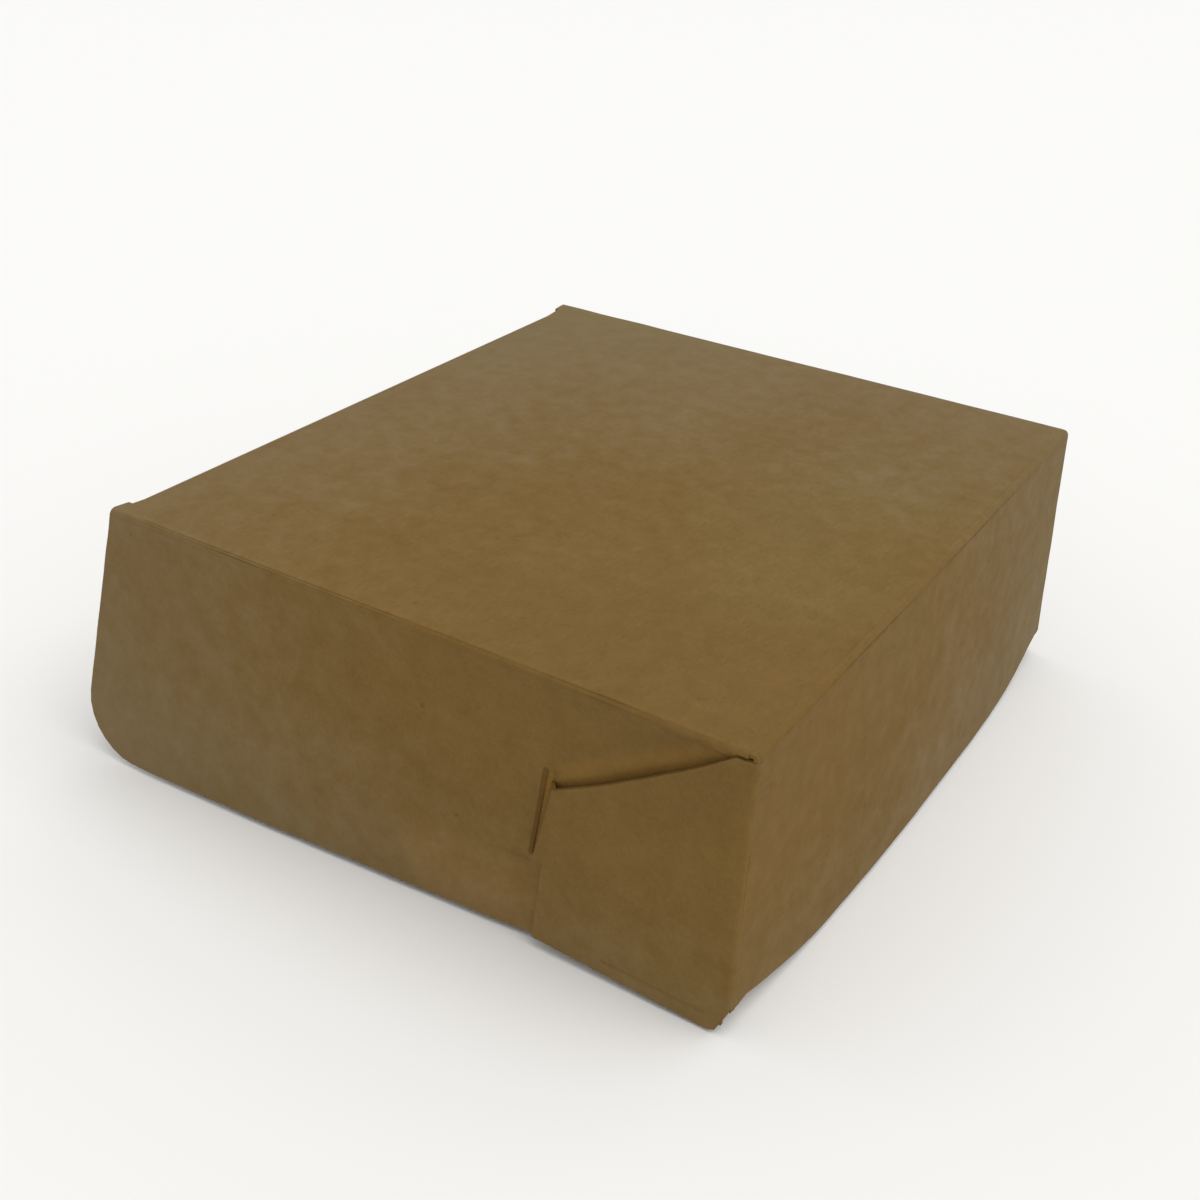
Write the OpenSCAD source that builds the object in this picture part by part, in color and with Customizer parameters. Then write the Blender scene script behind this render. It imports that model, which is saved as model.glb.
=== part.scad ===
// Folded kraft board box: an open tray and a full-depth lid that swings on the fold at the rear.
// The lid's front corners are held by flaps whose tabs pass through slits in the side panels.

/* [Box] */
// Width across the front, over the lid
box_w = 205; // [160:1:260]
// Depth from the front fold to the hinge fold
box_l = 180; // [150:1:240]
// Height over the closed lid
box_h = 76; // [64:1:100]
// Thickness of the board
board_t = 1; // [0.7:0.1:1.3]

/* [Lid] */
// Height of the lid's lower rim above the surface the box stands on
rim_z = 1.6; // [0.5:0.1:3]
// Outer radius of the soft fold between the top and the front wall
front_fold_r = 1.8; // [1.8:0.1:4]
// Outer radius of the crisp folds between the top and the side panels
side_fold_r = 1.4; // [1.4:0.1:3]
// How far the middle of the top sags
top_sag = 0.8; // [0:0.1:2]
// How far the front wall's rim stands out at its left corner
left_lean = 0; // [0:0.1:4]
// How far the front wall's rim stands out at its right corner
right_lean = 4.2; // [0:0.1:6]
// How much further the front wall's rim bows out at its middle
front_bow = 2.8; // [0:0.1:6]
// How far the hinge fold lies below the folds beside it
hinge_drop = 1.4; // [0:0.1:3]
// Width of the strip over which the top runs down to the hinge fold
hinge_strip = 14; // [8:1:30]
// How far a side panel's free rear end splays out at the rim
side_splay = 4.9; // [0:0.1:6]
// Slant of a side panel's free rear edge, in degrees
rear_slant = 12.8; // [0:0.1:15]
// Radius of a side panel's lower rear corner
rear_corner_r = 14.5; // [8:0.5:16]

/* [Corner lock] */
// Outer radius of the upright folds at the front corners
upright_fold_r = 1.4; // [1.3:0.1:3]
// Reach of a flap from the front corner to the lower end of its shoulder
flap_reach = 51.7; // [40:0.1:60]
// Drop of the flap's slanted upper edge from the corner to the tab
flap_drop = 28.6; // [22:0.1:34]
// Height of the tab at its root
tab_h = 21.4; // [14:0.1:24]
// Length of the tab behind the side panel
tab_l = 13; // [8:0.5:18]
// Gap between the flap and the side panel behind it, at the tab
lock_gap = 1.3; // [0.4:0.1:1.6]
// Gap between them at the front corner
corner_gap = 0.6; // [0.4:0.1:3.2]
// How much further the panel is pressed in, halfway from the corner to the slit
press_in = 1.5; // [0:0.1:2]
// Reach from the front corner to the lower end of the slit
slit_reach = 53.6; // [42:0.1:62]
// Lean of the slit towards the front corner, in degrees
slit_lean = 7.9; // [0:0.1:10]
// Length over which the flap dips into the slit at the tab's upper edge
dip_top = 3.3; // [2:0.1:6]
// Length over which it dips at the tab's lower edge
dip_low = 1.1; // [1:0.1:4]
// Room round the tab in its slit
slit_play = 0.3; // [0.2:0.05:0.6]
// How far the slit runs on above the tab
slit_over = 2.6; // [1:0.1:8]
// Width of the slit there
slit_w = 1.5; // [0.8:0.1:3]
// Height of the relief cut at the lower end of the upright fold
relief_h = 8.2; // [4:0.1:12]
// Width of that relief cut along the flap
relief_w = 3; // [2.5:0.1:6]
// How much the flap's lowest corner is cut back
tip_cut = 0.9; // [0:0.1:2]
// Length over which the front wall's rim runs down from that relief cut
relief_run = 45; // [10:1:60]
// Height of the flap's lower edge above the surface the box stands on, next to that corner
flap_rim_z = 0.4; // [0.3:0.1:3]
// Rise of the flap's lower edge from there to its shoulder
flap_rise = 2.7; // [0:0.1:4]

/* [Tray] */
// Gap between the tray's side walls and the flat of the lid's side panels
tray_side_gap = 5.2; // [4.8:0.1:7]
// Gap between the tray's front wall and the lid's front wall
tray_front_gap = 1.2; // [0.8:0.1:4]
// Gap between the tray's upper edges and the underside of the lid
tray_top_gap = 0.3; // [0.2:0.05:1]
// Outer radius of the tray's bottom folds
bottom_fold_r = 1.8; // [1.4:0.1:4]
// Length of the glued corner flaps inside the front and rear walls
glue_flap_l = 42; // [25:1:60]
// Drop of those flaps' slanted upper edges
glue_flap_drop = 26; // [5:1:40]
// Running gap at the hinge fold
hinge_gap = 0.3; // [0.2:0.05:0.6]

/* [Hidden] */

kraft = [0.50, 0.42, 0.28];
kraft_inside = [0.56, 0.47, 0.33];
eps = 0.01;

// Half sizes, and the depth below the top at which the lid ends
half_w = box_w / 2;
half_l = box_l / 2;
rim_v = box_h - rim_z;
wall_half = half_w - upright_fold_r;

// The hinge's axis runs along the middle of the board, where the rear wall meets the lid
hinge_y = half_l - board_t / 2;
hinge_z = box_h - hinge_drop - board_t / 2;
lid_rear_y = hinge_y - board_t / 2 - hinge_gap;

// A side panel stands back behind the flap by the flap's thickness and the gap. It reaches that
// place over a run below its fold, which is shorter at the front corner.
recess = board_t + lock_gap;
recess_run = 12.5;
corner_recess_run = 1.2;
slit_y = slit_reach - half_l;
splay_run = (box_l - flap_reach) * 0.92;

// The lower rear corner is an arc that touches the slanted edge and the rim
corner_v = rim_v - rear_corner_r;
corner_y = half_l + corner_v * tan(rear_slant) - rear_corner_r / cos(rear_slant);
slant_end_v = corner_v - rear_corner_r * sin(rear_slant);

// The tray's outer sizes inside the lid
tray_w = box_w - 2 * (board_t + tray_side_gap);
tray_front_y = -half_l + board_t + tray_front_gap;
tray_l = half_l - tray_front_y;
tray_top_z = box_h - board_t - tray_top_gap;

// The whole box is centred on the middle of its outline
rear_reach = max(half_l, corner_y + rear_corner_r);
front_far_x = wall_half * min(1, (right_lean - left_lean) / 4 / max(front_bow, eps));
front_reach = half_l + front_off(front_far_x, rim_v);
centre_y = (rear_reach - front_reach) / 2;

// Outward offset of a side panel's outer face, at a place y along it and a depth v below the top
function along(y) = min(1, max(0, (y - slit_y) / splay_run));
function side_off(y, v) =
    let (s = along(y), k = s * (1.35 - 0.35 * s),
         f = min(1, max(0, (slit_y - y) / flap_reach)),
         depth = recess + (corner_gap - lock_gap) * f + 4 * press_in * f * (1 - f),
         u = min(1, max(0, v - side_fold_r) / (recess_run + (corner_recess_run - recess_run) * f)))
    -depth * (1 - k) * u * (1.6 - 0.6 * u) + side_splay * k * v / box_h;

// Outward offset of the front wall's outer face, at a place x along it and a depth v below the top
function front_off(x, v) =
    let (u = x / wall_half)
    (left_lean + (right_lean - left_lean) * (1 + u) / 2 + front_bow * (1 - u * u)) * v / box_h;

// Height of the top's outer face
function ease(s) = let (u = min(1, max(0, s))) u * u * (3 - 2 * u);
function top_z(x, y) =
    box_h - top_sag * max(0, 1 - pow(x / half_w, 2)) * max(0, 1 - pow(y / half_l, 2))
        - hinge_drop * ease((y - lid_rear_y + hinge_strip) / hinge_strip)
            * ease((half_w - side_fold_r - abs(x)) / 6);

// Rear end of a side panel at a depth v
function rear_y(v) =
    v <= slant_end_v
        ? half_l + v * tan(rear_slant)
        : corner_y + sqrt(max(0, pow(rear_corner_r, 2) - pow(v - corner_v, 2)));

// A closed sheet between two grids of points, rows of equal length. Seen from outside, the rows
// follow each other to the right of the way that a row's own points run.
module sheet(outer, inner) {
    rows = len(outer);
    cols = len(outer[0]);
    points = concat([for (row = outer) each row], [for (row = inner) each row]);
    back = rows * cols;
    function at(i, j) = i * cols + j;
    faces = concat(
        [for (i = [0 : rows - 2], j = [0 : cols - 2])
            each [[at(i, j), at(i, j + 1), at(i + 1, j + 1)],
                  [at(i, j), at(i + 1, j + 1), at(i + 1, j)]]],
        [for (i = [0 : rows - 2], j = [0 : cols - 2])
            each [[back + at(i, j), back + at(i + 1, j + 1), back + at(i, j + 1)],
                  [back + at(i, j), back + at(i + 1, j), back + at(i + 1, j + 1)]]],
        [for (j = [0 : cols - 2])
            each [[at(0, j), back + at(0, j), back + at(0, j + 1)],
                  [at(0, j), back + at(0, j + 1), at(0, j + 1)]]],
        [for (j = [0 : cols - 2], i = [rows - 1])
            each [[at(i, j), at(i, j + 1), back + at(i, j + 1)],
                  [at(i, j), back + at(i, j + 1), back + at(i, j)]]],
        [for (i = [0 : rows - 2])
            each [[at(i, 0), at(i + 1, 0), back + at(i + 1, 0)],
                  [at(i, 0), back + at(i + 1, 0), back + at(i, 0)]]],
        [for (i = [0 : rows - 2], j = [cols - 1])
            each [[at(i, j), back + at(i, j), back + at(i + 1, j)],
                  [at(i, j), back + at(i + 1, j), at(i + 1, j)]]]);
    polyhedron(points, faces, convexity = 6);
}

// Depths down a side panel: steps that grow from the fold down, then steps round the lower rear
// corner
side_steps = 12;
corner_steps = 7;
side_depths = concat(
    [for (k = [0 : side_steps])
        side_fold_r + (slant_end_v - side_fold_r) * pow(k / side_steps, 1.6)],
    [for (k = [1 : corner_steps])
        let (a = -rear_slant + (90 + rear_slant) * k / corner_steps)
        corner_v + rear_corner_r * sin(a)]);

// The outline of the top and side panels across the box, as a place, a way out and a depth:
// up the left panel, round its fold, over the top, round the other fold and down
fold_steps = 4;
top_steps = 12;
left_half = concat(
    [for (k = [len(side_depths) - 1 : -1 : 0]) [-half_w, 180, side_depths[k]]],
    [for (k = [1 : fold_steps])
        let (a = 180 - 90 * k / fold_steps)
        [-half_w + side_fold_r * (1 + cos(a)), a, side_fold_r * (1 - sin(a))]]);
top_part = [for (k = [1 : top_steps - 1])
    [(half_w - side_fold_r) * (2 * k / top_steps - 1), 90, 0]];
right_half = [for (k = [len(left_half) - 1 : -1 : 0])
    [-left_half[k][0], 180 - left_half[k][1], left_half[k][2]]];
across = concat(left_half, top_part, right_half);

length_steps = 18;
top_front_y = -half_l + front_fold_r;
side_front_y = -half_l + board_t + lock_gap;
function skin_y(station, j) =
    let (front = station[1] == 90 ? top_front_y : max(side_front_y, top_front_y),
         rear = station[1] == 90 ? half_l : rear_y(station[2]))
    front + (rear - front) * j / length_steps;
function skin_point(station, y, inset) =
    let (a = station[1], v = station[2],
         panel = a == 180 || a == 0,
         side = a > 90 ? -1 : 1,
         x = station[0] + (panel ? side * side_off(y, v) : 0),
         z = a == 90 ? top_z(x, y) : box_h - v)
    [x - inset * cos(a), y, z - inset * sin(a)];
function skin_grid(inset) =
    [for (station = across)
        [for (j = [0 : length_steps]) skin_point(station, skin_y(station, j), inset)]];

// The top and the two side panels
module lid_skin() {
    difference() {
        sheet(skin_grid(0), skin_grid(board_t));
        translate([-tray_w / 2 - hinge_gap, lid_rear_y, hinge_z - 2 * board_t])
            cube([tray_w + 2 * hinge_gap, half_l, 4 * board_t + hinge_drop]);
        for (side = [-1, 1])
            lock_slit(side);
    }
}

// The slit that takes the tab leans forward. Its rear edge runs through these places, and the
// flap's dip ends just before it.
tab_top_v = flap_drop;
tab_low_v = tab_top_v + tab_h;
function slit_rear(v) = slit_y + (v - tab_low_v) * tan(slit_lean);
function dip_run(v) = dip_low + (dip_top - dip_low) * (tab_low_v - v) / tab_h;
function dip_start(v) = slit_rear(v) - slit_play - dip_run(v);

// It is cut right through a side panel: wide enough for the dip, and narrow above the tab
module lock_slit(side) {
    x = side * (half_w - recess) - 2 * recess;
    high = tab_top_v - slit_play;
    low = tab_low_v + slit_play;
    top = high - slit_over;
    translate([x, 0, box_h])
        rotate([90, 0, 90])
            linear_extrude(4 * recess)
                union() {
                    polygon([[slit_rear(low), -low], [slit_rear(high), -high],
                             [dip_start(high) - 0.3 * board_t, -high],
                             [dip_start(low) - board_t, -low]]);
                    hull() {
                        translate([slit_rear(top) - slit_w / 2, -top - slit_w / 2])
                            circle(d = slit_w, $fn = 16);
                        translate([slit_rear(low) - slit_w, -low])
                            square([slit_w, eps]);
                    }
                }
}

// The front wall with its soft upper fold, from the top's front edge down to the rim
wall_steps = 28;
front_depth_steps = 10;
function wall_x(k) = -wall_half * sin(180 * k / wall_steps - 90);
function rim_rise(x) = relief_h * pow(max(0, 1 - (half_w - abs(x)) / relief_run), 1.5);
function wall_profile(x, inset) = concat(
    [for (k = [0 : fold_steps])
        let (a = 90 + 90 * k / fold_steps, r = front_fold_r - inset)
        [x, top_front_y + r * cos(a), box_h - front_fold_r + r * sin(a)]],
    [for (k = [1 : front_depth_steps])
        let (low = rim_v - rim_rise(x),
             v = front_fold_r + (low - front_fold_r) * k / front_depth_steps)
        [x, -half_l - front_off(x, v) + front_off(x, front_fold_r) + inset, box_h - v]]);
function wall_grid(inset) =
    [for (k = [0 : wall_steps]) wall_profile(wall_x(k), inset)];
module front_wall() {
    sheet(wall_grid(0), wall_grid(board_t));
    for (side = [-1, 1])
        sheet(ear_grid(ear_inset, side), ear_grid(board_t - ear_inset, side));
}

// The ends of the soft fold, out over the upright folds to the box's corners. They start inside
// the wall and the top, a little below their faces, and end behind the flaps' upper edges.
ear_lap = 0.6;
ear_inset = 0.06;
ear_root = min(wall_half, half_w - side_fold_r) - ear_lap;
ear_rows = [for (k = [-1 : fold_steps / 2])
    k < 0 ? [ear_root, 0]
          : let (a = 90 * k / fold_steps)
            [half_w - side_fold_r * (1 - sin(a)), side_fold_r * (1 - cos(a))]];
function upright_in(x) =
    upright_fold_r - sqrt(max(0, pow(upright_fold_r, 2) - pow(max(0, x - wall_half), 2)));
function ear_point(row, j, inset, side) =
    let (u = min(1, max(0, j / fold_steps)), r = front_fold_r - inset)
    [side * row[0],
     top_front_y - r * sin(90 * u) + upright_in(row[0]) * u + (j < 0 ? ear_lap : 0),
     box_h - front_fold_r + r * cos(90 * u) - row[1] * (1 - u) - (j > fold_steps ? ear_lap : 0)];
function ear_grid(inset, side) =
    let (count = len(ear_rows))
    [for (i = [0 : count - 1])
        [for (j = [-1 : fold_steps + 1])
            ear_point(ear_rows[side < 0 ? count - 1 - i : i], j, inset, side)]];

// A corner flap: round the upright fold from the front wall, then back along the side panel to a
// slanted end. A station is a place across, a place along, a way out, and an upper and lower depth.
flap_steps = 10;
tab_root = dip_start(tab_top_v) + half_l;
fold_len = upright_fold_r * PI / 2;
corner_low_v = rim_v - relief_h;
tip_v = box_h - flap_rim_z - tip_cut;
function flap_top(d) =
    max(front_fold_r + 0.4, flap_drop * (d - upright_fold_r) / (tab_root - upright_fold_r));
function flap_low(d) =
    box_h - flap_rim_z - flap_rise * (d - relief_w) / (flap_reach - relief_w)
        - tip_cut * max(0, 1 - (d - relief_w) / (2 * tip_cut + eps));
function relief_low(s) =
    corner_low_v + (tip_v - corner_low_v) * s / (fold_len + relief_w - upright_fold_r);
flap_places = concat([0, 0.04], [for (k = [1 : flap_steps]) k / flap_steps]);
flap_outline = concat(
    [for (k = [0 : fold_steps])
        let (a = 270 - 90 * k / fold_steps)
        [-half_w + upright_fold_r * (1 + cos(a)),
         [-half_l + upright_fold_r * (1 + sin(a)), -half_l + upright_fold_r * (1 + sin(a))],
         a, flap_top(0), relief_low(fold_len * k / fold_steps)]],
    [for (t = flap_places)
        let (high_d = relief_w + (tab_root - relief_w) * t,
             low_d = relief_w + (flap_reach - relief_w) * t)
        [-half_w, [-half_l + high_d, -half_l + low_d], 180, flap_top(high_d), flap_low(low_d)]]);
flap_rows = 8;
function flap_point(station, k, inset, lean) =
    let (u = k / flap_rows,
         v = station[3] + (station[4] - station[3]) * u,
         y = station[1][0] + (station[1][1] - station[1][0]) * u,
         fade = max(0, 1 - (y + half_l) / flap_reach))
    [station[0] - inset * cos(station[2]),
     y - inset * sin(station[2]) - fade * lean * (v - front_fold_r) / box_h,
     box_h - v];
function flap_grid(inset, lean) =
    [for (station = flap_outline)
        [for (k = [0 : flap_rows]) flap_point(station, k, inset, lean)]];

// The flap dips through the slit to its tab, which lies behind the side panel. The dip is long at
// the tab's upper edge and steep at its lower edge.
tab_in = recess + board_t + slit_play;
tab_rows = 6;
dip_steps = 8;
function tab_row(v, inner) =
    let (start = dip_start(v), run = dip_run(v),
         shift = inner * board_t * [1, -0.3 - 0.7 * (v - tab_top_v) / tab_h])
    concat([[0, tab_root - half_l - board_t] + shift],
           [for (k = [0 : dip_steps])
               [tab_in * ease(k / dip_steps), start + run * k / dip_steps] + shift],
           [[tab_in, slit_rear(v) + tab_l] + shift]);
function tab_grid(inner) =
    [for (k = [0 : dip_steps + 2])
        [for (i = [0 : tab_rows])
            let (v = tab_top_v + tab_h * i / tab_rows, p = tab_row(v, inner)[k])
            [-half_w + p[0], p[1], box_h - v]]];

module corner_flap(lean) {
    sheet(flap_grid(0, lean), flap_grid(board_t, lean));
    sheet(tab_grid(0), tab_grid(1));
}

module lid() {
    color(kraft)
        translate([0, -centre_y, 0]) {
            lid_skin();
            front_wall();
            corner_flap(left_lean);
            mirror([1, 0, 0])
                corner_flap(right_lean);
        }
}

// Board folded up from the bottom to a wall, as a section: bottom to the right, wall upward
module fold_section(bottom_len, wall_len) {
    difference() {
        union() {
            translate([bottom_fold_r, bottom_fold_r])
                circle(r = bottom_fold_r, $fn = 48);
            translate([0, bottom_fold_r])
                square([board_t, wall_len - bottom_fold_r]);
            translate([bottom_fold_r, 0])
                square([bottom_len - bottom_fold_r, board_t]);
        }
        translate([bottom_fold_r, bottom_fold_r])
            circle(r = bottom_fold_r - board_t, $fn = 48);
        translate([bottom_fold_r, board_t])
            square([bottom_len, bottom_fold_r * 2]);
        translate([board_t, bottom_fold_r])
            square([bottom_fold_r * 2, wall_len]);
    }
}

// The front and rear walls with the bottom between them, and the round edge at the hinge fold
module tray_length() {
    length = tray_w - 2 * bottom_fold_r;
    translate([-length / 2, 0, 0]) {
        translate([0, tray_front_y, 0])
            rotate([90, 0, 90])
                linear_extrude(length)
                    fold_section(tray_l / 2, tray_top_z);
        translate([0, half_l, 0])
            mirror([0, 1, 0])
                rotate([90, 0, 90])
                    linear_extrude(length)
                        fold_section(tray_l / 2, hinge_z);
    }
    wall_end(tray_front_y, tray_top_z);
    wall_end(half_l - board_t, hinge_z);
    translate([-tray_w / 2, hinge_y, hinge_z])
        rotate([0, 90, 0])
            cylinder(r = board_t / 2, h = tray_w, $fn = 32);
}

// An end wall above its bottom fold, out to the tray's corners
module wall_end(y, height) {
    translate([-tray_w / 2, y, bottom_fold_r])
        cube([tray_w, board_t, height - bottom_fold_r]);
}

// A side wall folded up from the bottom, with a glued flap inside the front and rear walls.
// Its upper edge runs down to the hinge fold with the lid above it.
module side_wall() {
    length = tray_l - 2 * bottom_fold_r;
    difference() {
        union() {
            translate([-tray_w / 2, tray_front_y + bottom_fold_r + length, 0])
                rotate([90, 0, 0])
                    linear_extrude(length)
                        fold_section(tray_w / 2, tray_top_z);
            translate([-tray_w / 2, tray_front_y + board_t, bottom_fold_r])
                cube([board_t, tray_l - 2 * board_t, tray_top_z - bottom_fold_r]);
        }
        translate([-tray_w / 2 - eps, 0, 0])
            rotate([90, 0, 90])
                linear_extrude(board_t + 2 * eps)
                    polygon([[lid_rear_y - hinge_strip, tray_top_z],
                             [half_l, tray_top_z - hinge_drop],
                             [half_l, box_h],
                             [lid_rear_y - hinge_strip, box_h]]);
    }
    for (end = [0, 1])
        translate([0, end == 0 ? tray_front_y : half_l, 0])
            mirror([0, end, 0])
                glue_flap();
}

// A corner flap as it lies glued to the inside of an end wall, its upper edge slanted
module glue_flap() {
    translate([-tray_w / 2, 2 * board_t, 0])
        rotate([90, 0, 0])
            linear_extrude(1.5 * board_t)
                polygon([[board_t / 2, bottom_fold_r + board_t],
                         [glue_flap_l, bottom_fold_r + 4 * board_t],
                         [glue_flap_l, tray_top_z - glue_flap_drop],
                         [board_t / 2, tray_top_z - hinge_drop]]);
}

module tray() {
    color(kraft_inside)
        translate([0, -centre_y, 0]) {
            tray_length();
            side_wall();
            mirror([1, 0, 0])
                side_wall();
        }
}

tray();
lid();
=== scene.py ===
import math

import bpy
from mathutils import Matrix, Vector


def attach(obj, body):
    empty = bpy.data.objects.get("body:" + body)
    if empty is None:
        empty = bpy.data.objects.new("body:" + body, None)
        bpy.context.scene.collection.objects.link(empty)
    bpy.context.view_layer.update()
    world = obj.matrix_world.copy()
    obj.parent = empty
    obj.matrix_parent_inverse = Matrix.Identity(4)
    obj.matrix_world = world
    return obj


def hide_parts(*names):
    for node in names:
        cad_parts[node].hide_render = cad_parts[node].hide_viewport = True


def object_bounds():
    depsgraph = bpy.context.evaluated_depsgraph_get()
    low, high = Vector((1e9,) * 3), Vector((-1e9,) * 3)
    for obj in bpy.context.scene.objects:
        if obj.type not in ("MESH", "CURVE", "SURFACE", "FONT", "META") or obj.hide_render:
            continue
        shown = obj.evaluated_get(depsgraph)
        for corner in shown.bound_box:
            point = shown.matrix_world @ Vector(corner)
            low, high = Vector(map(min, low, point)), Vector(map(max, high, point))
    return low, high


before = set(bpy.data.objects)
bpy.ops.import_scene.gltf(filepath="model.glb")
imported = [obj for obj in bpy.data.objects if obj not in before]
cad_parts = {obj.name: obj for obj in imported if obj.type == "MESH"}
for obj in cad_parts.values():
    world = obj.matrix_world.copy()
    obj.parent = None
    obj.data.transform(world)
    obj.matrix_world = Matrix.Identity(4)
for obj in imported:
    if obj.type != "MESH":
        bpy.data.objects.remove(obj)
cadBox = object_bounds()
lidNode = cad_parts["lid"]
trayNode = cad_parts["tray"]
lidTop = float(cadBox[1][2])
print("stage 1: packed frame loaded")


# camera and light

viewSettings = {
    "place": (-0.32283, -0.18684, 0.24335),
    "turn": (60.443, -2.612, -57.861),
    "lens": 44.603,
    "sensor": 36,
    "nearest": 0.01,
}


def inRadians(turn):
    return [math.radians(angle) for angle in turn]


def addCamera(s):
    bpy.ops.object.camera_add(location=s["place"], rotation=inRadians(s["turn"]))
    camera = bpy.context.object
    camera.name = "photoView"
    camera.data.lens = s["lens"]
    camera.data.sensor_width = s["sensor"]
    camera.data.clip_start = s["nearest"]
    bpy.context.scene.camera = camera


lightSettings = {
    "sun": {
        "place": (0.4, -0.6, 1.1),
        "towards": (0.0, -0.45, 1.0),
        "strength": 1.28,
        "spread": 50.0,
        "colour": (1.0, 0.985, 0.96),
    },
    "sky": {"strength": 0.73, "colour": (1.0, 1.0, 1.0)},
}


def addSun(s):
    bpy.ops.object.light_add(type="SUN", location=s["place"])
    lamp = bpy.context.object
    lamp.name = "softSun"
    lamp.data.energy = s["strength"]
    lamp.data.angle = math.radians(s["spread"])
    lamp.data.color = s["colour"]
    lamp.rotation_euler = Vector(s["towards"]).to_track_quat("Z", "Y").to_euler()


def addSky(s):
    world = bpy.data.worlds.new("studio")
    bpy.context.scene.world = world
    world.use_nodes = True
    back = world.node_tree.nodes["Background"]
    back.inputs["Color"].default_value = (*s["colour"], 1.0)
    back.inputs["Strength"].default_value = s["strength"]


addCamera(viewSettings)
addSun(lightSettings["sun"])
addSky(lightSettings["sky"])
bpy.context.scene.view_settings.view_transform = "Standard"
print("stage 2: camera and light")


# shader helpers: each adds a node at x, y and gives back what it puts out

def newMaterial(name):
    material = bpy.data.materials.new(name)
    material.use_nodes = True
    return material, material.node_tree


def addNode(tree, kind, x, y, **values):
    node = tree.nodes.new(kind)
    node.location = (x, y)
    for key, value in values.items():
        setattr(node, key, value)
    return node


# a number, a colour or a vector is set on the socket, and anything else is linked to it
def feed(tree, value, socket):
    if isinstance(value, (int, float)):
        socket.default_value = value
    elif isinstance(value, tuple):
        socket.default_value = (*value, 1.0) if socket.type == "RGBA" else value
    else:
        tree.links.new(value, socket)


def addNoise(tree, x, y, vector, scale, detail=3.0, roughness=0.55, distortion=0.0):
    noise = addNode(tree, "ShaderNodeTexNoise", x, y)
    noise.inputs["Scale"].default_value = scale
    noise.inputs["Detail"].default_value = detail
    noise.inputs["Roughness"].default_value = roughness
    noise.inputs["Distortion"].default_value = distortion
    feed(tree, vector, noise.inputs["Vector"])
    return noise.outputs["Fac"]


def addRange(tree, x, y, value, low, high, toLow=0.0, toHigh=1.0):
    node = addNode(tree, "ShaderNodeMapRange", x, y, clamp=True)
    node.interpolation_type = "SMOOTHSTEP"
    feed(tree, value, node.inputs["Value"])
    feed(tree, low, node.inputs["From Min"])
    feed(tree, high, node.inputs["From Max"])
    feed(tree, toLow, node.inputs["To Min"])
    feed(tree, toHigh, node.inputs["To Max"])
    return node.outputs["Result"]


def addMath(tree, x, y, operation, first, second=None):
    node = addNode(tree, "ShaderNodeMath", x, y, operation=operation)
    feed(tree, first, node.inputs[0])
    if second is not None:
        feed(tree, second, node.inputs[1])
    return node.outputs["Value"]


def addVectorMath(tree, x, y, operation, first, second=None):
    node = addNode(tree, "ShaderNodeVectorMath", x, y, operation=operation)
    feed(tree, first, node.inputs[0])
    if second is not None:
        feed(tree, second, node.inputs["Scale"] if operation == "SCALE" else node.inputs[1])
    isNumber = operation in ("DOT_PRODUCT", "DISTANCE", "LENGTH")
    return node.outputs["Value" if isNumber else "Vector"]


def addMix(tree, x, y, amount, first, second, blend="MIX"):
    node = addNode(tree, "ShaderNodeMix", x, y, data_type="RGBA", blend_type=blend)
    feed(tree, amount, node.inputs[0])
    feed(tree, first, node.inputs[6])  # the colour A
    feed(tree, second, node.inputs[7])  # the colour B
    return node.outputs[2]


def addSplit(tree, x, y, vector):
    node = addNode(tree, "ShaderNodeSeparateXYZ", x, y)
    feed(tree, vector, node.inputs["Vector"])
    return node.outputs


def newGroup(name, inputs, outputs):
    group = bpy.data.node_groups.new(name, "ShaderNodeTree")
    for label, kind, value in inputs:
        socket = group.interface.new_socket(label, in_out="INPUT", socket_type=kind)
        if value is not None:
            socket.default_value = value
    for label, kind in outputs:
        group.interface.new_socket(label, in_out="OUTPUT", socket_type=kind)
    start = addNode(group, "NodeGroupInput", -1400, 0)
    end = addNode(group, "NodeGroupOutput", 900, 0)
    return group, start.outputs, end.inputs


# a soft mask beside a straight line between two points, such as a fold or a crease
def makeLineGroup():
    group, start, end = newGroup(
        "besideLine",
        [
            ("Vector", "NodeSocketVector", None),
            ("Start", "NodeSocketVector", (0.0, 0.0, 0.0)),
            ("End", "NodeSocketVector", (0.0, 0.0, 1.0)),
            ("Width", "NodeSocketFloat", 0.002),
            ("Solid", "NodeSocketFloat", 0.0),
        ],
        [("Mask", "NodeSocketFloat")],
    )
    fromStart = addVectorMath(group, -1100, 150, "SUBTRACT", start["Vector"], start["Start"])
    along = addVectorMath(group, -1100, -50, "SUBTRACT", start["End"], start["Start"])
    covered = addVectorMath(group, -900, 150, "DOT_PRODUCT", fromStart, along)
    whole = addVectorMath(group, -900, -50, "DOT_PRODUCT", along, along)
    reach = addMath(group, -700, 50, "DIVIDE", covered, whole)
    limited = addNode(group, "ShaderNodeClamp", -520, 50)
    feed(group, reach, limited.inputs["Value"])
    nearest = addVectorMath(group, -340, 0, "SCALE", along, limited.outputs["Result"])
    gap = addVectorMath(group, -160, 100, "DISTANCE", fromStart, nearest)
    share = addMath(group, 40, 100, "DIVIDE", gap, start["Width"])
    mask = addRange(group, 240, 100, share, 1.0, start["Solid"])
    feed(group, mask, end["Mask"])
    return group


lineGroup = makeLineGroup()


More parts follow.
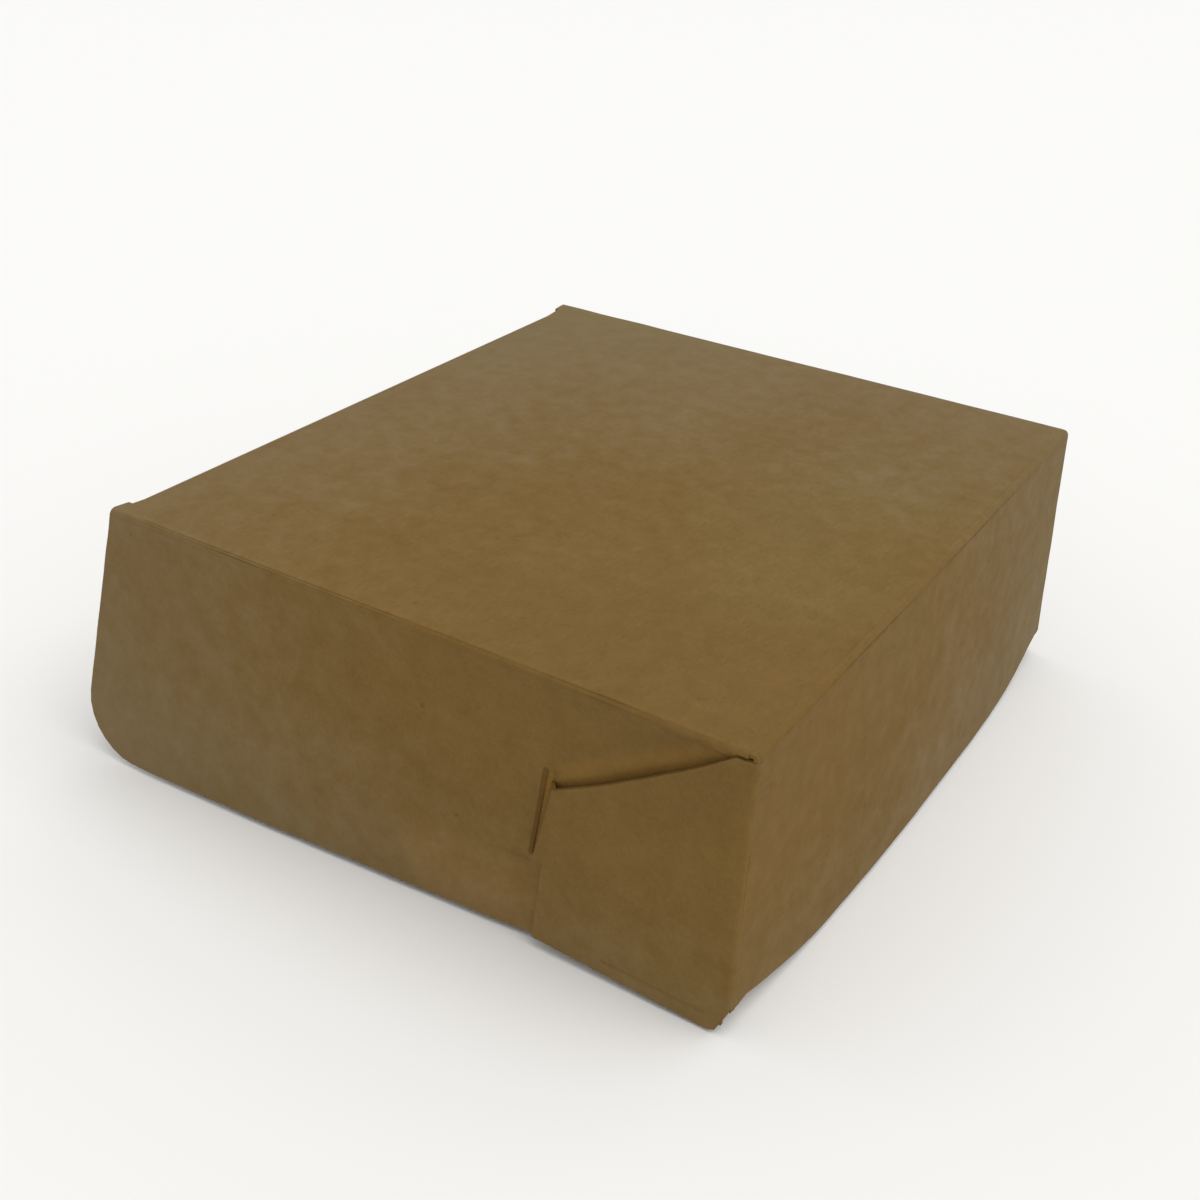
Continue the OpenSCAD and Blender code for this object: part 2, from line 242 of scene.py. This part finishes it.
def addLine(tree, x, y, place, line):
    node = addNode(tree, "ShaderNodeGroup", x, y, node_tree=lineGroup)
    feed(tree, place, node.inputs["Vector"])
    feed(tree, line["from"], node.inputs["Start"])
    feed(tree, line["to"], node.inputs["End"])
    feed(tree, line["width"], node.inputs["Width"])
    feed(tree, line.get("solid", 0.0), node.inputs["Solid"])
    return node.outputs["Mask"]


# kraft paper: cloudy pulp, short fibres in every direction, a few dark specks

# a range is the two values between which a mask goes from nothing to full
paperSettings = {
    "bigCloud": {"scale": 34.0},
    "midCloud": {"scale": 160.0, "detail": 4.0, "roughness": 0.6},
    "fineCloud": {"scale": 700.0, "roughness": 0.6},
    "fibre": {"scale": 300.0, "detail": 1.0, "roughness": 0.5, "distortion": 0.5},
    "fibreStretch": (1.0, 6.0, 6.0),
    "fibreShift": (1.0, 0.7, 1.3),
    "fibreRange": (0.60, 0.78),
    "paleFibre": {"turn": (12, 24, 33), "shift": 0.13},
    "crossFibre": {"turn": (-28, 40, -48), "shift": 0.41},
    "darkFibre": {"turn": (50, -15, 95), "shift": 0.77},
    "speckScale": 150.0,
    "speckRange": (0.13, 0.05),
    "rareScale": 95.0,
    "rareRange": (0.60, 0.64),
    "roughRange": (0.3, 0.7, 0.88, 0.76),  # roughness goes from the third to the fourth value
    # how much each one lightens or darkens the sheet
    "tone": {
        "bigCloud": 0.16,
        "midCloud": 0.26,
        "fineCloud": 0.24,
        "paleFibre": 0.10,
        "darkFibre": -0.12,
        "speck": -0.22,
    },
    # how much each one blurs the step from warm to grey
    "patch": {"bigCloud": 0.5, "midCloud": 0.6},
    "relief": {"fineCloud": 0.6, "paleFibre": 0.4},
    # the sheet greys and calms away from its centre, and height counts double
    "axisWeight": (1.0, 1.0, 2.0),
    "calmFar": 0.45,
}


def addFibres(group, y, place, s, fibre):
    mapping = addNode(group, "ShaderNodeMapping", -1350, y)
    mapping.inputs["Rotation"].default_value = inRadians(fibre["turn"])
    mapping.inputs["Scale"].default_value = s["fibreStretch"]
    mapping.inputs["Location"].default_value = [fibre["shift"] * part for part in s["fibreShift"]]
    feed(group, place, mapping.inputs["Vector"])
    noise = addNoise(group, -1150, y, mapping.outputs["Vector"], **s["fibre"])
    return addRange(group, -950, y, noise, *s["fibreRange"])


def addSpecks(group, y, place, s):
    cell = addNode(group, "ShaderNodeTexVoronoi", -1150, y)
    cell.inputs["Scale"].default_value = s["speckScale"]
    feed(group, place, cell.inputs["Vector"])
    dot = addRange(group, -900, y, cell.outputs["Distance"], *s["speckRange"])
    seldom = addNoise(group, -1150, y - 250, place, s["rareScale"], 1.0)
    rare = addRange(group, -900, y - 250, seldom, *s["rareRange"])
    return addMath(group, -700, y, "MULTIPLY", dot, rare)


# 0 as near the centre as Near, and 1 as far from it as Far
def addAway(group, y, start, s):
    fromCentre = addVectorMath(group, -1500, y, "SUBTRACT", start["Vector"], start["Centre"])
    weighted = addVectorMath(group, -1320, y, "MULTIPLY", fromCentre, s["axisWeight"])
    distance = addVectorMath(group, -1150, y, "LENGTH", weighted)
    beyond = addMath(group, -950, y + 50, "SUBTRACT", distance, start["Near"])
    span = addMath(group, -950, y - 100, "SUBTRACT", start["Far"], start["Near"])
    return addMath(group, -750, y, "DIVIDE", beyond, span)


# the total so far, and a weighted part that counts from its middle value
def addShare(group, y, total, value, middle, weight):
    centred = addMath(group, -620, y, "SUBTRACT", value, middle)
    weighted = addMath(group, -460, y, "MULTIPLY", centred, weight)
    return addMath(group, -300, y, "ADD", total, weighted)


def makePaperGroup(s):
    group, start, end = newGroup(
        "kraftPaper",
        [
            ("Vector", "NodeSocketVector", None),
            ("Warm", "NodeSocketColor", (0.172, 0.101, 0.028, 1.0)),
            ("Grey", "NodeSocketColor", (0.188, 0.133, 0.063, 1.0)),
            ("Centre", "NodeSocketVector", (0.0, 0.0, 0.0)),
            ("Near", "NodeSocketFloat", 0.03),
            ("Far", "NodeSocketFloat", 0.2),
            ("Contrast", "NodeSocketFloat", 1.0),
        ],
        [
            ("Color", "NodeSocketColor"),
            ("Roughness", "NodeSocketFloat"),
            ("Height", "NodeSocketFloat"),
        ],
    )
    place = start["Vector"]
    parts = {}
    for index, name in enumerate(("bigCloud", "midCloud", "fineCloud")):
        parts[name] = addNoise(group, -1150, 600 - 200 * index, place, **s[name])
    parts["paleFibre"] = addMath(
        group, -700, -250, "MAXIMUM",
        addFibres(group, -150, place, s, s["paleFibre"]),
        addFibres(group, -350, place, s, s["crossFibre"]),
    )
    parts["darkFibre"] = addFibres(group, -550, place, s, s["darkFibre"])
    parts["speck"] = addSpecks(group, -800, place, s)

    # ground colour: warm near the centre, grey far from it
    away = addAway(group, 850, start, s)
    patchy = away
    for index, (name, weight) in enumerate(s["patch"].items()):
        patchy = addShare(group, 1150 + 150 * index, patchy, parts[name], 0.5, weight)
    greyed = addRange(group, -360, 850, patchy, 0.0, 1.0)
    ground = addMix(group, -180, 700, greyed, start["Warm"], start["Grey"])

    # tone: a factor about 1 that multiplies the ground
    tone = 0.0
    for index, (name, weight) in enumerate(s["tone"].items()):
        middle = 0.5 if name.endswith("Cloud") else 0.0  # clouds go both ways from 0.5
        tone = addShare(group, 500 - 120 * index, tone, parts[name], middle, weight)
    calmer = addRange(group, -360, 1000, away, 0.0, 1.0, 1.0, s["calmFar"])
    contrast = addMath(group, -180, 1000, "MULTIPLY", calmer, start["Contrast"])
    scaled = addMath(group, -120, 200, "MULTIPLY", tone, contrast)
    factor = addMath(group, 40, 200, "ADD", scaled, 1.0)
    grey = addNode(group, "ShaderNodeCombineColor", 200, 200)
    for label in ("Red", "Green", "Blue"):
        feed(group, factor, grey.inputs[label])
    colour = addMix(group, 400, 400, 1.0, ground, grey.outputs["Color"], "MULTIPLY")
    feed(group, colour, end["Color"])

    rough = addRange(group, 360, -150, parts["midCloud"], *s["roughRange"])
    feed(group, rough, end["Roughness"])
    height = addMath(
        group, 200, -350, "ADD",
        addMath(group, 0, -300, "MULTIPLY", parts["fineCloud"], s["relief"]["fineCloud"]),
        addMath(group, 0, -450, "MULTIPLY", parts["paleFibre"], s["relief"]["paleFibre"]),
    )
    feed(group, height, end["Height"])
    return group


paperGroup = makePaperGroup(paperSettings)


def addPaper(tree, x, y, s):
    coordinates = addNode(tree, "ShaderNodeTexCoord", x - 300, y)
    place = coordinates.outputs["Object"]
    paper = addNode(tree, "ShaderNodeGroup", x, y, node_tree=paperGroup)
    feed(tree, place, paper.inputs["Vector"])
    for label in ("Warm", "Grey", "Centre", "Near", "Far", "Contrast"):
        feed(tree, s[label], paper.inputs[label])
    return paper.outputs, place


# painted light and shade that follow the folds and the locked front corners: where they are, from
# the middle

flapFace = 0.1025  # outer face of the flaps, and of the folds over them
panelFace = 0.1003  # outer face of the side panels where they are pressed in
panelEnd = 0.1012  # paint for the pressed-in panels ends here
frontFold = -0.0938
sideFoldFront = -0.0925
sideFoldRear = 0.0860
foldHeight = lidTop - 0.0012
gapTop = lidTop - 0.0016  # paint in the gap over a flap ends here

# Each line is painted light where its tint is above 1 and painted shade where it is below, and is
# given for one side and mirrored. "solid" is the share of its width that has the full tint.
# "within" ends it at a distance from the middle, and "below" at a height.
paintedLightLines = {
    # painted light: lightens the shaded recess of the panel above the flap
    "panelPaintedLight": {
        "from": (0.1000, -0.0900, 0.0735),
        "to": (0.1000, -0.0490, 0.0493),
        "width": 0.0055,
        "tint": (1.46, 1.40, 1.28),
        "within": panelEnd,
        "below": gapTop,
    },
    "gapShade": {
        "from": (0.1000, -0.0890, 0.0716),
        "to": (0.1000, -0.0455, 0.0449),
        "width": 0.0024,
        "solid": 0.5,
        "tint": (0.92, 0.88, 0.76),
        "within": panelEnd,
        "below": gapTop,
    },
    "slitShade": {
        "from": (0.1004, -0.0455, 0.0500),
        "to": (0.1004, -0.0414, 0.0256),
        "width": 0.0016,
        "solid": 0.2,
        "tint": (0.86, 0.82, 0.74),
    },
    # painted shade along the slit's rear edge
    "slitLipShade": {
        "from": (0.1002, -0.0433, 0.0500),
        "to": (0.1002, -0.0401, 0.0256),
        "width": 0.0009,
        "solid": 0.6,
        "tint": (0.72, 0.66, 0.55),
        "within": panelEnd,
    },
    # painted shade along the pressed crease left of the slit
    "pressedCreaseShade": {
        "from": (0.1002, -0.0258, 0.0230),
        "to": (0.1002, -0.0390, 0.0234),
        "width": 0.0011,
        "tint": (0.90, 0.88, 0.84),
        "within": panelEnd,
    },
    # painted light beside the seam, lifting the shadow of the flap's end
    "panelSeamLight": {
        "from": (panelFace, -0.0440, 0.0240),
        "to": (panelFace, -0.0425, 0.0060),
        "width": 0.0050,
        "tint": (1.16, 1.16, 1.16),
        "within": panelEnd,
    },
    # painted light low on the side panel, where light bounces up from the floor
    "panelFootLight": {
        "from": (0.1005, -0.0370, 0.0100),
        "to": (0.1018, -0.0100, 0.0120),
        "width": 0.0180,
        "tint": (1.17, 1.13, 1.12),
        "within": 0.1024,
    },
    # painted light on the middle of the top, lighter and cooler
    "topMiddleLight": {
        "from": (0.0000, -0.0550, lidTop),
        "to": (0.0300, -0.0700, 0.0700),
        "width": 0.0450,
        "tint": (1.05, 1.14, 1.30),
    },
    # painted light in the dark gap at the front corner
    "gapCornerLight": {
        "from": (0.1013, -0.0922, 0.0738),
        "to": (0.1013, -0.0882, 0.0734),
        "width": 0.0012,
        "tint": (1.75, 1.65, 1.50),
        "below": gapTop,
    },
    # painted shade on the flap's upper part
    "flapTopShade": {
        "from": (flapFace, -0.0850, 0.0620),
        "to": (flapFace, -0.0720, 0.0560),
        "width": 0.0150,
        "tint": (0.93, 0.93, 0.90),
    },
    # painted light low on the flap
    "flapFootLight": {
        "from": (0.1028, -0.0860, 0.0080),
        "to": (0.1028, -0.0640, 0.0080),
        "width": 0.0150,
        "tint": (1.05, 1.09, 1.15),
    },
    # painted highlight along the flap's rear edge at the seam
    "seamEdgeHighlight": {
        "from": (flapFace, -0.0434, 0.0240),
        "to": (flapFace, -0.0416, 0.0050),
        "width": 0.0011,
        "tint": (1.08, 1.08, 1.08),
    },
    # painted shade along the crease low on the flap
    "flapCreaseShade": {
        "from": (flapFace, -0.0615, 0.0058),
        "to": (flapFace, -0.0875, 0.0051),
        "width": 0.0009,
        "tint": (0.88, 0.85, 0.80),
    },
    "sideFoldShade": {
        "from": (flapFace, sideFoldFront, foldHeight),
        "to": (flapFace, sideFoldRear, foldHeight),
        "width": 0.0010,
        "solid": 0.6,
        "tint": (0.95, 0.94, 0.93),
    },
    "frontFoldShade": {
        "from": (0.0, frontFold, 0.0749),
        "to": (0.1020, frontFold, 0.0749),
        "width": 0.0015,
        "solid": 0.7,
        "tint": (0.96, 0.955, 0.95),
    },
    # lighter along the side fold: part painted highlight, part rubbed wear
    "sideFoldSheenAndWear": {
        "from": (0.1010, sideFoldFront, lidTop),
        "to": (0.1010, sideFoldRear, lidTop),
        "width": 0.0010,
        "tint": (1.03, 1.035, 1.05),
    },
    # lighter along the upright front fold: part painted highlight, part rubbed wear
    "uprightFoldSheenAndWear": {
        "from": (0.1014, -0.0940, 0.0690),
        "to": (0.1014, -0.0940, 0.0110),
        "width": 0.0013,
        "tint": (1.05, 1.05, 1.06),
    },
}

boardSettings = {
    "Warm": (0.172, 0.101, 0.028),
    "Grey": (0.188, 0.133, 0.063),
    "Centre": (-flapFace, -0.094, lidTop),
    "Near": 0.08,
    "Far": 0.26,
    "Contrast": 1.0,
    "bump": 0.25,
    "bumpDepth": 0.00012,
    "specular": 0.12,
    "wander": {"amount": 0.0008, "scale": 90.0, "detail": 2.0},
    "withinBlur": 0.0003,
    "belowBlur": 0.0006,
    "lines": paintedLightLines,
}


# places on the box for the lines: both sides as one, and wandering a little
def addMirrored(tree, x, y, place, s):
    acrossPart, alongPart, heightPart = addSplit(tree, x, y, place)
    across = addMath(tree, x + 180, y, "ABSOLUTE", acrossPart)
    mirrored = addNode(tree, "ShaderNodeCombineXYZ", x + 360, y)
    feed(tree, across, mirrored.inputs["X"])
    feed(tree, alongPart, mirrored.inputs["Y"])
    feed(tree, heightPart, mirrored.inputs["Z"])
    drift = addNode(tree, "ShaderNodeTexNoise", x, y - 250)
    drift.inputs["Scale"].default_value = s["scale"]
    drift.inputs["Detail"].default_value = s["detail"]
    feed(tree, place, drift.inputs["Vector"])
    middle = (0.5, 0.5, 0.5)
    centred = addVectorMath(tree, x + 180, y - 250, "SUBTRACT", drift.outputs["Color"], middle)
    small = addVectorMath(tree, x + 360, y - 250, "SCALE", centred, s["amount"])
    moved = addVectorMath(tree, x + 540, y - 120, "ADD", mirrored.outputs["Vector"], small)
    return moved, across, heightPart


# 1 on faces that look away from the middle of the box, 0 on those that look inwards
def addOuter(tree, x, y, place):
    coordinates = addNode(tree, "ShaderNodeTexCoord", x - 200, y - 150)
    facing = addSplit(tree, x, y - 150, coordinates.outputs["Normal"])["X"]
    across = addSplit(tree, x, y, place)["X"]
    product = addMath(tree, x + 180, y, "MULTIPLY", across, facing)
    return addMath(tree, x + 360, y, "GREATER_THAN", product, 0.0)


# painted light and shade: each line multiplies the colour by its tint
def addPaintedLight(tree, colour, place, s):
    mirrored, across, height = addMirrored(tree, -2200, 700, place, s["wander"])
    outer = addOuter(tree, -2200, 200, place)
    for index, line in enumerate(s["lines"].values()):
        y = 300 + 220 * index
        mask = addLine(tree, -1100, y, mirrored, line)
        if "within" in line:
            farEnd = line["within"] + s["withinBlur"]
            inner = addRange(tree, -1300, y, across, farEnd, line["within"])
            inner = addMath(tree, -1100, y - 60, "MULTIPLY", inner, outer)
            mask = addMath(tree, -900, y, "MULTIPLY", mask, inner)
        if "below" in line:
            farEnd = line["below"] + s["belowBlur"]
            lower = addRange(tree, -1300, y - 110, height, farEnd, line["below"])
            mask = addMath(tree, -900, y - 110, "MULTIPLY", mask, lower)
        tinted = addMix(tree, -700, y, 1.0, colour, line["tint"], "MULTIPLY")
        colour = addMix(tree, -500, y, mask, colour, tinted)
    return colour


def makeBoard(name, s):
    material, tree = newMaterial(name)
    shader = tree.nodes["Principled BSDF"]
    paper, place = addPaper(tree, -900, 0, s)
    colour = paper["Color"]
    if s["lines"]:
        colour = addPaintedLight(tree, colour, place, s)
    bump = addNode(tree, "ShaderNodeBump", -250, -300)
    bump.inputs["Strength"].default_value = s["bump"]
    bump.inputs["Distance"].default_value = s["bumpDepth"]
    feed(tree, paper["Height"], bump.inputs["Height"])
    feed(tree, colour, shader.inputs["Base Color"])
    feed(tree, paper["Roughness"], shader.inputs["Roughness"])
    feed(tree, bump.outputs["Normal"], shader.inputs["Normal"])
    shader.inputs["Specular IOR Level"].default_value = s["specular"]
    return material


boardMaterial = makeBoard("kraftBoard", boardSettings)
print("stage 3: materials")


# lid: a refined copy of its mesh, slightly uneven as folded board is

lidSettings = {
    "mergeGap": 0.00001,
    "cuts": 3,
    "smooth": 32.0,  # degrees between faces
    "waves": {
        "uneven": {"size": 0.05, "amount": 0.00035},
        "buckle": {"size": 0.014, "amount": 0.00030},
    },
    # the flap's slanted edge hangs a little between the corner and the tab
    "edge": {
        "from": (-0.0891, 0.0740),
        "to": (-0.0470, 0.0474),
        "sag": 0.0011,
        "reach": 0.0006,
        "frontEase": 5,
        "rearEase": 4,
    },
}


def sagFlapEdge(mesh, s):
    startY, startZ = s["from"]
    endY, endZ = s["to"]
    for vertex in mesh.vertices:
        share = (vertex.co.y - startY) / (endY - startY)
        if abs(vertex.co.x) < panelEnd or not 0 < share < 1:
            continue
        if abs(vertex.co.z - startZ - (endZ - startZ) * share) < s["reach"]:
            hang = min(1, s["frontEase"] * share, s["rearEase"] * (1 - share))
            vertex.co.z -= s["sag"] * hang


def addWave(piece, name, s):
    texture = bpy.data.textures.new(name, "CLOUDS")
    texture.noise_scale = s["size"]
    texture.noise_depth = 1
    texture.cloud_type = "COLOR"
    wave = piece.modifiers.new(name, "DISPLACE")
    wave.texture = texture
    wave.texture_coords = "LOCAL"
    wave.direction = "RGB_TO_XYZ"
    wave.mid_level = 0.5
    wave.strength = s["amount"]
    bpy.context.view_layer.objects.active = piece
    bpy.ops.object.modifier_apply(modifier=name)


def selectOnly(piece):
    bpy.ops.object.select_all(action="DESELECT")
    piece.select_set(True)
    bpy.context.view_layer.objects.active = piece


def makeLidSkin(s):
    mesh = lidNode.data.copy()
    mesh.name = "lidSkin"
    mesh.materials.clear()
    piece = bpy.data.objects.new("lidSkin", mesh)
    bpy.context.scene.collection.objects.link(piece)
    piece.matrix_world = lidNode.matrix_world
    selectOnly(piece)
    bpy.ops.object.transform_apply(location=True, rotation=True, scale=True)
    bpy.ops.object.mode_set(mode="EDIT")
    bpy.ops.mesh.select_all(action="SELECT")
    bpy.ops.mesh.remove_doubles(threshold=s["mergeGap"])
    bpy.ops.mesh.customdata_custom_splitnormals_clear()
    bpy.ops.object.mode_set(mode="OBJECT")
    sagFlapEdge(mesh, s["edge"])
    bpy.ops.object.mode_set(mode="EDIT")
    bpy.ops.mesh.select_all(action="SELECT")
    bpy.ops.mesh.subdivide(number_cuts=s["cuts"])
    bpy.ops.object.mode_set(mode="OBJECT")
    for name, wave in s["waves"].items():
        addWave(piece, name, wave)
    bpy.ops.object.shade_smooth_by_angle(angle=math.radians(s["smooth"]))
    piece.data.materials.append(boardMaterial)
    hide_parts("lid")
    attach(piece, "lid")
    return piece


def dress(thing, material):
    thing.data.materials.clear()
    thing.data.materials.append(material)


lidSkin = makeLidSkin(lidSettings)
dress(lidNode, boardMaterial)
print("stage 4: lid", len(lidSkin.data.polygons))


# painted light in the crevices, bright pieces that stand in for light reaching into them:
# a strip along each slit's rear edge, a patch behind its upper end, and a patch behind the front
# end of the gap over the flap

creviceLightSettings = {
    "strip": {
        "centre": (0.09965, -0.0429, 0.03825),
        "size": (0.0004, 0.0017, 0.0255),
        "lean": 7.9,  # degrees, as the slit leans
    },
    "patch": {
        "centre": (0.09955, -0.0466, 0.0462),
        "size": (0.0002, 0.0036, 0.0046),
        "lean": 0.0,
    },
    "corner": {
        "centre": (0.1006, -0.0918, 0.0732),
        "size": (0.0006, 0.0026, 0.0032),
        "lean": 0.0,
    },
}

# the same board in brighter, warmer colours, as painted light inside the crevices
slitLightSettings = dict(boardSettings)
slitLightSettings.update(
    Warm=(0.200, 0.106, 0.022),
    Grey=(0.205, 0.118, 0.032),
    lines={},
)
slitLightMaterial = makeBoard("slitPaintedLight", slitLightSettings)


def addCreviceLight(name, side, s):
    x, y, z = s["centre"]
    bpy.ops.object.select_all(action="DESELECT")
    bpy.ops.mesh.primitive_cube_add(size=1, location=(side * x, y, z))
    creviceLight = bpy.context.object
    creviceLight.name = name + ("Left" if side < 0 else "Right")
    creviceLight.scale = s["size"]
    creviceLight.rotation_euler = (math.radians(s["lean"]), 0, 0)
    bpy.ops.object.transform_apply(location=True, rotation=True, scale=True)
    creviceLight.data.materials.append(slitLightMaterial)
    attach(creviceLight, "lid")


for side in (-1, 1):
    for name, settings in creviceLightSettings.items():
        addCreviceLight(name, side, settings)
print("stage 5: slits")


# tray: the same board without the lines of painted light, shade and fold wear

traySettings = dict(boardSettings)
traySettings.update(
    Warm=(0.205, 0.137, 0.056),
    Grey=(0.212, 0.149, 0.072),
    lines={},
)
trayMaterial = makeBoard("kraftInside", traySettings)
dress(trayNode, trayMaterial)
print("stage 6: tray")


# floor

floorSettings = {
    "size": 8.0,
    "drop": 0.0002,
    "colour": (0.88, 0.88, 0.87),
    "roughness": 0.9,
}


def addFloor(s):
    bpy.ops.mesh.primitive_plane_add(size=s["size"], location=(0, 0, -s["drop"]))
    floor = bpy.context.object
    floor.name = "floor"
    material, tree = newMaterial("floorPaper")
    shader = tree.nodes["Principled BSDF"]
    shader.inputs["Base Color"].default_value = (*s["colour"], 1.0)
    shader.inputs["Roughness"].default_value = s["roughness"]
    floor.data.materials.append(material)


addFloor(floorSettings)
print("stage 7: floor")
